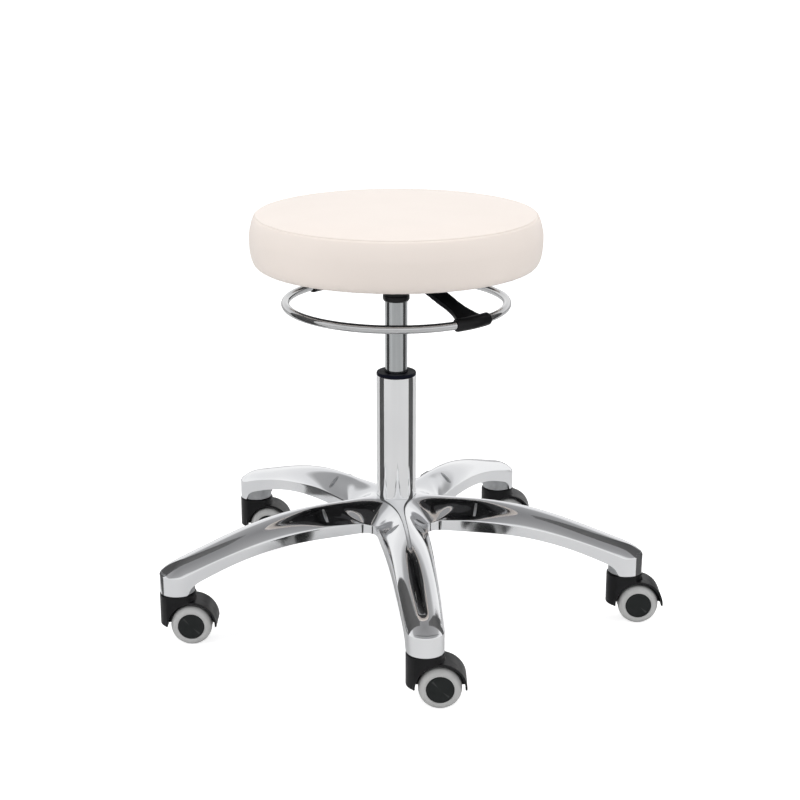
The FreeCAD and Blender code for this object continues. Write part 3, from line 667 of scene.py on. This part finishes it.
def star_inside():
    """Hub boss, castor sockets and stiffening ribs inside the casting."""
    verts, faces = [], []
    hub_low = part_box("column_tube")[0].z / MM
    hub_r, hub_high, socket_bore, socket_r = 34, 140, 5.8, TIP_HALF - 1.3
    hub = [(BORE_FIT, hub_low), (hub_r, hub_low), (hub_r, hub_high), (BORE_FIT, hub_high + 2)]
    ring_solid(verts, faces, rounded(hub, [0.4, 1.2, 1, 0.4]), (0, 0), 96)
    for turn in LEG_TURNS:
        at = (STEM_CIRCLE * math.cos(turn), STEM_CIRCLE * math.sin(turn))
        socket = [(socket_bore, BOSS_FOOT), (socket_r, BOSS_FOOT),
                  (socket_r, TIP_CREASE + 3), (socket_bore, TIP_CREASE + 3)]
        ring_solid(verts, faces, rounded(socket, [0.5, 1.0, 2, 0.5]), at, 64)
        spine = [(r, arc_height(r, UNDER_PEAK) + 5, ridge_height(r) - 2) for r in range(33, 276, 22)]
        rib(verts, faces, turn, spine, 1.5)
        web = [(r, UNDER_PEAK[1] + 2, valley_height(r) - 2.5) for r in (33, 43, 53, 61)]
        rib(verts, faces, turn + HALF_SECTOR, web, 1.4)
        for x in (105, 155, 205, 250):
            cross_rib(verts, faces, turn, x, arc_height(x, UNDER_PEAK) + 4)
    obj = mesh_object("star_inside", verts, faces)
    fix_normals(obj)
    return obj


def join_into(target, *others):
    """Merges the other objects' meshes, with their materials, into the first."""
    bm = bmesh.new()
    bm.from_mesh(target.data)
    for other, slot in others:
        before = len(bm.faces)
        bm.from_mesh(other.data)
        bm.faces.ensure_lookup_table()
        for face in bm.faces[before:]:
            face.material_index = slot
            face.smooth = True
        bpy.data.objects.remove(other)
    bm.to_mesh(target.data)
    bm.free()


star = star_base()
join_into(star, (star_inside(), 1))
star.modifiers.new("crisp", "EDGE_SPLIT").split_angle = math.radians(50)
settle(star, "base", ["star_base"], None)


# ---- column, gas spring and release ring ------------------------------------------------------

def span(node):
    """Outer radius, lowest and highest point of a node about the column, in millimetres."""
    low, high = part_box(node)
    return (high.x - low.x) / 2 / MM, low.z / MM, high.z / MM


def column():
    """Tube, bush and gas cylinder, as turned bodies."""
    radius, low, high = span("column_tube")
    wall = 2.0
    outline = [(radius - wall, low), (radius, low), (radius, high), (radius - wall, high)]
    tube = lathe("column_chrome", rounded(outline, [0.3, 0.3, 0.7, 0.3]), 144)
    settle(tube, "base", ["column_tube"], MATERIALS["chrome"])
    _, bush_low, top = span("guide_bush")
    spring, spring_low, spring_top = span("gas_cylinder")
    shaft = spring + 0.05
    bush = lathe("column_bush", rounded([
        (shaft, bush_low), (radius - wall, bush_low), (radius - wall, high), (radius - 0.1, high),
        (radius - 0.1, top), (shaft + 1.6, top), (shaft, top - 1.4)],
        [0.2, 0.2, 0, 0.4, 1.3, 0.5, 0.2]), 144)
    settle(bush, "base", ["guide_bush"], MATERIALS["bush_plastic"])
    neck_low, neck_r, bore, valve = spring_top - 27.0, spring - 0.8, spring - 1.5, 6.0
    cylinder = lathe("gas_cylinder_shell", rounded([
        (bore, spring_low), (spring, spring_low), (spring, neck_low), (neck_r, spring_top),
        (valve, spring_top), (valve, neck_low), (bore, neck_low)], [0.2, 0.8, 0.4, 0.5, 0, 0, 0]), 128)
    settle(cylinder, "seat", ["gas_cylinder"], MATERIALS["satin_steel"])


def release():
    """Ring as a turned round bar, and its arms with softened edges."""
    outer, low, high = span("release_ring")
    bar_r, steps = (high - low) / 2, 28
    circle = []
    for k in range(steps):
        turn = FULL_TURN * k / steps
        circle.append((outer - bar_r + bar_r * math.cos(turn), (low + high) / 2 + bar_r * math.sin(turn)))
    ring = lathe("ring_bar", circle, 220)
    settle(ring, "release", ["release_ring"], MATERIALS["ring_chrome"])
    yoke = soften("ring_yoke", "ring_arms", 0.9, 9)
    settle(yoke, "release", ["ring_yoke"], MATERIALS["black_plastic"])


column()
release()


# ---- castors ---------------------------------------------------------------------------------

WHEEL_SEGMENTS = 96
AXLE_BORE = 3.06


def wheel_lathe(name, profile, joint, side):
    """(radius, distance from the castor's middle) turned about the axle."""
    x, y, z = [c / MM for c in JOINTS[joint]["pos_m"]]
    verts, faces = lathe_mesh(profile, WHEEL_SEGMENTS)
    obj = mesh_object(name, [(x + a, y + side * h, z + b) for a, b, h in verts], faces)
    fix_normals(obj)
    weigh_normals(obj)
    return obj


def wheel_pair(place):
    """The two tyres and hubs of a castor."""
    for hand, side in (("near", -1), ("far", 1)):
        joint, body = f"{place}_roll_{hand}", f"{place}_wheel_{hand}"
        tread_low, tread_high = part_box(f"{place}_tread_{hand}")
        radius = (tread_high.z - tread_low.z) / 2 / MM
        middle = JOINTS[joint]["pos_m"][1]
        inner, face = sorted(abs(v - middle) / MM for v in (tread_low.y, tread_high.y))
        outer = face + 1.0
        cap, core = radius * 0.64, radius * 0.76
        tread = wheel_lathe(f"{place}_tyre_{hand}", rounded([
            (core, inner), (radius - 0.4, inner), (radius, inner + 5), (radius, face - 4.6),
            (radius - 4.4, face), (cap + 0.15, face), (cap + 0.15, face - 3), (core, face - 3)],
            [0.3, 2.2, 6, 5.0, 6.5, 0.5, 0, 0], 6), joint, side)
        settle(tread, body, [f"{place}_tread_{hand}"], MATERIALS["grey_tread"])
        disc = wheel_lathe(f"{place}_hub_{hand}", rounded([
            (0, outer - 0.9), (cap - 2.6, outer - 0.7), (cap - 2.0, outer - 0.4), (cap - 0.5, outer - 0.4),
            (cap, outer - 1.4), (cap, face - 3), (core - 0.05, face - 3), (core - 0.05, inner),
            (AXLE_BORE, inner), (AXLE_BORE, outer - 2.4), (0, outer - 2.4)],
            [0, 0.8, 0.4, 0.6, 0.2, 0, 0.2, 0.4, 0.2, 0, 0], 3), joint, side)
        settle(disc, body, [f"{place}_wheel_{hand}"], MATERIALS["charcoal_plastic"])


for place in CASTORS:
    wheel_pair(place)
    hood = soften(f"{place}_hood", f"{place}_cover", 0.6, 4)
    settle(hood, f"{place}_castor", [f"{place}_hood"], MATERIALS["black_plastic"])


# ---- seat --------------------------------------------------------------------------------------

SEAT_R, SEAT_LOW, SEAM_Z = span("cover_band")
SEAM_R, _, SEAT_TOP = span("cover_top")
BOARD_R, BOARD_LOW, BOARD_HIGH = span("seat_board")
TUCK_R = span("dust_cover")[0]
UNDER_R = SEAT_R - 12.2     # where the flat underside starts to round up
WIDE_Z = SEAT_LOW + 35.9    # height at which the cushion is widest
LOWER_ROUND = 0.8           # powers that shape the side below and above that height,
UPPER_ROUND = 2 / 1.4
TOP_FLAT, TOP_ROUND = 5, 0.6             # and the top towards its edge
START_GAP = 1.2             # the top starts this much lower, then swells
SIDE_GAP = 0.6              # the side starts this much smaller
SEAM_PLAY = 2.4             # stitched strip under the seam that doesn't swell
SIM_FRAMES = 20
STAPLE_COUNT = 54
CLOTH_HOLE_R = 24.0         # hole in the underside cloth, hidden by the plate
CLOTH_ROWS = 40
CLOTH_DROOP = 1.5
CLOTH_CLEAR = 14            # how far beyond the plate's reach the cloth starts to droop
GRID = 48
AROUND = 4 * GRID


def side_profile():
    """Points from the tuck edge under the board up to the seam, with their share of swelling."""
    points = [(TUCK_R, SEAT_LOW, 0.0), ((TUCK_R + UNDER_R) / 2, SEAT_LOW, 0.0), (UNDER_R - 3, SEAT_LOW, 0.0)]
    for k in range(9):
        turn = math.pi / 2 * k / 8
        run, drop = math.sin(turn) ** LOWER_ROUND, math.cos(turn) ** LOWER_ROUND
        height = WIDE_Z - (WIDE_Z - SEAT_LOW) * drop
        points.append((UNDER_R + (SEAT_R - UNDER_R) * run, height, math.sin(turn)))
    for k in range(1, 8):
        turn = math.pi / 2 * k / 8
        rise, run = math.sin(turn) ** UPPER_ROUND, math.cos(turn) ** UPPER_ROUND
        share = 1 - (k / 8) ** 3
        points.append((SEAM_R + (SEAT_R - SEAM_R) * run, WIDE_Z + (SEAM_Z - WIDE_Z) * rise, share))
    points.append((SEAM_R + 0.35, SEAM_Z - SEAM_PLAY, 0.0))
    points.append((SEAM_R + 0.1, SEAM_Z - 0.8, 0.0))
    return points


def top_height(share):
    """Height of the crowned top at a share of the seam's radius."""
    return SEAM_Z + (SEAT_TOP - SEAM_Z) * max(1 - share ** TOP_FLAT, 0) ** TOP_ROUND


def cushion_mesh():
    """Closed cushion: side rings, a gridded round top, and the underside round the board."""
    verts, faces, swell = [], [], []

    def ring(radius, height, share):
        start = len(verts)
        for k in range(AROUND):
            turn = FULL_TURN * k / AROUND
            verts.append((radius * math.cos(turn), radius * math.sin(turn), height))
            swell.append(share)
        return [start + k for k in range(AROUND)]

    rings = [ring(BOARD_R, BOARD_HIGH, 0), ring(BOARD_R, BOARD_LOW, 0), ring(TUCK_R, BOARD_LOW, 0)]
    for radius, height, share in side_profile():
        rings.append(ring(radius - SIDE_GAP * share, height, share))
    rings.append(ring(SEAM_R, SEAM_Z, 0))
    for a, b in zip(rings, rings[1:]):
        faces += [(a[k], a[(k + 1) % AROUND], b[(k + 1) % AROUND], b[k]) for k in range(AROUND)]

    def disc(edge, radius, height_of, shrink):
        """A square grid bent into a round one, its border being the edge's points."""
        index = {}
        for i in range(GRID + 1):
            for j in range(GRID + 1):
                u, v = 2 * i / GRID - 1, 2 * j / GRID - 1
                reach = max(abs(u), abs(v))
                if abs(u) >= abs(v):
                    turn = math.pi / 4 * (v / u if u else 0) + (math.pi if u < 0 else 0)
                else:
                    turn = math.pi / 2 - math.pi / 4 * u / v + (math.pi if v < 0 else 0)
                if reach > 1 - 1e-6:
                    index[i, j] = edge[round(turn / FULL_TURN * AROUND) % AROUND]
                    continue
                share = 1 - (1 - reach) ** 1.7
                index[i, j] = len(verts)
                out = radius * share
                verts.append((out * math.cos(turn), out * math.sin(turn), height_of(share)))
                swell.append(shrink * min((1 - share) * SEAM_R / 12, 1))
        for i in range(GRID):
            for j in range(GRID):
                faces.append((index[i, j], index[i + 1, j], index[i + 1, j + 1], index[i, j + 1]))

    def start_height(share):
        return top_height(share) - START_GAP * min((1 - share) * 14, 1)

    disc(rings[-1], SEAM_R, start_height, 1.0)
    disc(rings[0], BOARD_R, lambda share: BOARD_HIGH, 0.0)
    obj = mesh_object("seat_cushion", verts, faces)
    fix_normals(obj)
    return obj, swell, rings


def swell_cushion(obj, swell):
    """Blows the cushion up inside its stitched seam and its stapled underside."""
    start = [v.co.copy() for v in obj.data.vertices]
    pins = obj.vertex_groups.new(name="held")
    for k, share in enumerate(swell):
        pins.add([k], 1 - min(share * 1.5, 1), "REPLACE")
    cloth = obj.modifiers.new("cloth", "CLOTH")
    cloth.settings.quality = 6
    cloth.settings.mass = 0.4
    cloth.settings.tension_stiffness = cloth.settings.compression_stiffness = 25
    cloth.settings.bending_stiffness = 1.5
    cloth.settings.use_pressure = True
    cloth.settings.uniform_pressure_force = 4
    cloth.settings.vertex_group_mass = "held"
    cloth.settings.effector_weights.gravity = 0
    cloth.point_cache.frame_start, cloth.point_cache.frame_end = 1, SIM_FRAMES
    for frame_number in range(1, SIM_FRAMES + 1):
        SCENE.frame_set(frame_number)
    bake_modifiers(obj)
    SCENE.frame_set(1)
    most = 1.15 * START_GAP * MM
    for vertex, rest in zip(obj.data.vertices, start):
        move = vertex.co - rest
        if move.length > most:
            vertex.co = rest + move * (most / move.length)


def pucker(turn):
    """Uneven pull of the stitches round the seam, about -1 to 1."""
    return (math.sin(31 * turn + 1.3) + math.sin(47 * turn + 4.1) + math.sin(13 * turn)) / 3


def stitch_cushion(obj, rings):
    """Cuts the seam groove and folds the pleats under the board."""
    verts = obj.data.vertices
    seam = len(rings) - 1
    for k in range(AROUND):
        turn = FULL_TURN * k / AROUND
        out = Vector((math.cos(turn), math.sin(turn), 0))
        verts[rings[seam][k]].co += (out * -1.6 + Vector((0, 0, -0.6))) * MM
        verts[rings[seam - 1][k]].co += out * (0.05 + 0.06 * pucker(turn)) * MM
        verts[rings[seam - 2][k]].co += out * (0.16 + 0.12 * pucker(turn + 0.02)) * MM
        verts[rings[seam - 3][k]].co += out * 0.10 * pucker(turn + 0.04) * MM
        fold = abs(math.sin(36 * turn + 0.6 * math.sin(5 * turn))) ** 0.6
        for row, depth in ((4, 0.7), (5, 0.9), (6, 0.5), (7, 0.25)):
            verts[rings[row][k]].co.z += (0.35 - fold) * depth * MM


def seat():
    cushion, swell, rings = cushion_mesh()
    swell_cushion(cushion, swell)
    stitch_cushion(cushion, rings)
    smooth = cushion.modifiers.new("rounding", "SUBSURF")
    smooth.levels = smooth.render_levels = 1
    bake_modifiers(cushion)
    stands_for = ["cover_top", "cover_band", "seat_foam"]
    settle(cushion, "seat", stands_for, MATERIALS["white_upholstery"])


def dust_sheet():
    """Cloth disc stapled under the board, drooping a little between the plate and the staples."""
    free_from = span("seat_plate")[0] + CLOTH_CLEAR
    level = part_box("dust_cover")[0].z / MM + 0.9
    verts, faces = [], []
    for i in range(CLOTH_ROWS + 1):
        radius = CLOTH_HOLE_R + (TUCK_R - CLOTH_HOLE_R) * i / CLOTH_ROWS
        free = max(0.0, math.sin(math.pi * min(max((radius - free_from) / (TUCK_R - free_from), 0), 1)))
        for k in range(AROUND):
            turn = FULL_TURN * k / AROUND
            wave = 0.55 + 0.25 * math.sin(9 * turn + radius / 19) + 0.2 * math.sin(23 * turn - radius / 11)
            droop = CLOTH_DROOP * free * wave
            verts.append((radius * math.cos(turn), radius * math.sin(turn), level - droop))
    for i in range(CLOTH_ROWS):
        a, b = i * AROUND, (i + 1) * AROUND
        faces += [(a + k, a + (k + 1) % AROUND, b + (k + 1) % AROUND, b + k) for k in range(AROUND)]
    obj = mesh_object("underside_cloth", verts, faces)
    fix_normals(obj)
    thick = obj.modifiers.new("cloth", "SOLIDIFY")
    thick.thickness = 0.4 * MM
    bake_modifiers(obj)
    settle(obj, "seat", ["dust_cover"], MATERIALS["dust_cloth"])


def staples():
    """Wire staples through the folded cover into the board."""
    verts, faces = [], []
    reach, half, wire, leg = TUCK_R + 5.5, 5.5, 0.45, 2.0
    section = [(-wire, 0), (0, -wire), (wire, 0), (0, wire)]
    path = [(-half, leg), (-half, 0.25), (-half + 0.5, 0), (half - 0.5, 0), (half, 0.25), (half, leg)]
    for n in range(STAPLE_COUNT):
        turn = FULL_TURN * (n + 0.35 * math.sin(7 * n)) / STAPLE_COUNT
        spin = Matrix.Rotation(turn + 0.2 * math.sin(3 * n), 3, "Z")
        centre = Vector((reach * math.cos(turn), reach * math.sin(turn), SEAT_LOW - 0.5))
        start = len(verts)
        for y, z in path:
            upright = abs(y) == half
            for a, b in section:
                offset = Vector((a, b, 0)) if upright else Vector((a, 0, b))
                verts.append(centre + spin @ (Vector((0, y, z)) + offset))
        for m in range(len(path) - 1):
            a, b = start + 4 * m, start + 4 * m + 4
            faces += [(a + k, a + (k + 1) % 4, b + (k + 1) % 4, b + k) for k in range(4)]
        end = len(verts)
        faces += [tuple(range(start, start + 4)), tuple(range(end - 4, end))]
    obj = mesh_object("cover_staples", verts, faces)
    fix_normals(obj)
    settle(obj, "seat", [], MATERIALS["zinc_steel"])


seat()
dust_sheet()
staples()


# ---- CAD pieces that stay, with softened edges and finished materials ---------------------------

REPLACED = {"star_base", "column_tube", "guide_bush", "gas_cylinder", "release_ring", "ring_yoke",
            "cover_top", "cover_band", "seat_foam", "dust_cover"}
REPLACED |= {f"{place}_{kind}" for place in CASTORS
             for kind in ("hood", "wheel_near", "wheel_far", "tread_near", "tread_far")}
PIN_ROUND = 0.25            # edge radius of the castors' stems and axles
EDGE_ROUND = {"mechanism_housing": 0.6, "seat_plate": 0.7, "plate_screws": 0.2, "seat_board": 0.6}


def dress_cad_nodes():
    """Gives every CAD node that stays its record's material, and bevels the larger ones."""
    slots = {part["node"]: part["material_slot"] for part in frame["record"]["subparts"]}
    for node, obj in frame["nodes"].items():
        if node in REPLACED:
            continue
        obj.data.materials.clear()
        obj.data.materials.append(MATERIALS[slots[node]])
        width = EDGE_ROUND.get(node, PIN_ROUND if node.endswith(("_stem", "_axle")) else 0)
        if width:
            weld = obj.modifiers.new("weld", "WELD")
            weld.merge_threshold = 0.002 * MM
            bevel = obj.modifiers.new("bevel", "BEVEL")
            bevel.width = width * MM
            bevel.segments = 3
            bevel.limit_method = "ANGLE"
            bevel.angle_limit = math.radians(40)
            bevel.harden_normals = True


dress_cad_nodes()


# ---- light, floor and camera ----------------------------------------------------------------

FLOOR_REACH = 25000
LIGHTS_AIM = Vector((0, 0, 0.3))


def plain(name, low, high):
    """Matt grey of that brightness."""
    s = Surface(name, specular_ior_level=0.1)
    s.colour(s.noise(2, 2), (0.3, (low, low, low)), (0.7, (high, high, high)))
    s.spread(s.noise(3, 2), 0.85, 0.95)
    return s


def hide_from(obj, *rays):
    for ray in rays:
        setattr(obj, "visible_" + ray, False)


def studio():
    """White floor, with a second one just under it that the reflections and the bounced light use."""
    corners = [(-FLOOR_REACH, -FLOOR_REACH), (FLOOR_REACH, -FLOOR_REACH),
               (FLOOR_REACH, FLOOR_REACH), (-FLOOR_REACH, FLOOR_REACH)]
    floor = mesh_object("floor", [(x, y, 0) for x, y in corners], [(0, 1, 2, 3)])
    white = plain("studio_floor", 0.86, 0.88)
    white.bsdf.inputs["Emission Color"].default_value = (1, 1, 1, 1)
    white.bsdf.inputs["Emission Strength"].default_value = 0.6
    floor.data.materials.append(white.mat)
    hide_from(floor, "diffuse", "glossy", "transmission", "shadow")
    under = mesh_object("floor_bounce", [(x, y, -1) for x, y in corners], [(0, 1, 2, 3)])
    under.data.materials.append(plain("bounce_floor", 0.72, 0.74).mat)
    hide_from(under, "camera")


def side_flags():
    """Two plain grey boards left and right of the stool, which only the metal mirrors."""
    away, front, back, high = 420, -120, 160, 1500
    for name, x in (("flag_left", -away), ("flag_right", away)):
        corners = [(x, front, 0), (x, back, 0), (x, back, high), (x, front, high)]
        board = mesh_object(name, corners, [(0, 1, 2, 3)])
        board.data.materials.append(plain(name, 0.12, 0.14).mat)
        hide_from(board, "camera", "diffuse", "transmission", "shadow")


class WorldMath:
    """Arithmetic between sockets of the world's node tree."""

    def __init__(self, tree):
        self.tree = tree

    def __call__(self, operation, a, b=0.0):
        node = self.tree.nodes.new("ShaderNodeMath")
        node.operation = operation
        for socket, value in zip(node.inputs, (a, b)):
            if isinstance(value, (int, float)):
                socket.default_value = value
            else:
                self.tree.links.new(value, socket)
        return node.outputs[0]


def sky():
    """Plain room: pale walls that meet a grey ceiling in a soft rounded edge."""
    world = bpy.data.worlds.new("studio_world")
    SCENE.world = world
    world.use_nodes = True
    tree = world.node_tree
    calc = WorldMath(tree)
    parts = tree.nodes.new("ShaderNodeSeparateXYZ")
    tree.links.new(tree.nodes.new("ShaderNodeTexCoord").outputs["Generated"], parts.inputs[0])
    horizon = 0.02
    rise = calc("MAXIMUM", parts.outputs["Z"], horizon)
    across = calc("ABSOLUTE", calc("DIVIDE", parts.outputs["X"], rise))
    along = calc("ABSOLUTE", calc("DIVIDE", parts.outputs["Y"], rise))
    reach = calc("POWER", calc("ADD", calc("POWER", across, 4), calc("POWER", along, 4)), 0.25)
    ramp = tree.nodes.new("ShaderNodeValToRGB")
    stops = ramp.color_ramp.elements
    stops[0].position, stops[0].color = 0.0, (0.26, 0.26, 0.265, 1)
    stops[1].position, stops[1].color = 1.0, (1.0, 1.0, 1.0, 1)
    for position, value in ((0.28, 0.42), (0.36, 0.82)):
        stops.new(position).color = (value, value, value * 1.01, 1)
    tree.links.new(calc("DIVIDE", reach, 4.0), ramp.inputs["Fac"])
    background = tree.nodes["Background"]
    background.inputs["Strength"].default_value = 1.0
    tree.links.new(ramp.outputs["Color"], background.inputs["Color"])


def softbox(name, place, size, power):
    """Soft rectangular light aimed at the stool, which the metal doesn't mirror."""
    light = bpy.data.lights.new(name, "AREA")
    light.shape = "RECTANGLE"
    light.size, light.size_y = size
    light.energy = power
    obj = bpy.data.objects.new(name, light)
    SCENE.collection.objects.link(obj)
    obj.location = place
    obj.visible_glossy = False
    obj.rotation_euler = (LIGHTS_AIM - obj.location).to_track_quat("-Z", "Y").to_euler()


def camera():
    data = bpy.data.cameras.new("view")
    data.lens, data.sensor_width = 75.72, 36
    data.clip_start, data.clip_end = 0.05, 60
    obj = bpy.data.objects.new("view", data)
    SCENE.collection.objects.link(obj)
    obj.location = (0.00466, -2.0299, 0.8892)
    pitch_down = 16.913
    obj.rotation_euler = (math.radians(90 - pitch_down), 0, 0)
    SCENE.camera = obj


studio()
sky()
side_flags()
softbox("overhead", (0.1, 0.3, 3.0), (1.6, 1.0), 26)
softbox("left", (-2.4, -1.2, 1.9), (1.6, 1.2), 27)
softbox("right", (2.4, -0.9, 1.9), (1.4, 1.2), 20)
camera()
SCENE.view_settings.view_transform = "Standard"
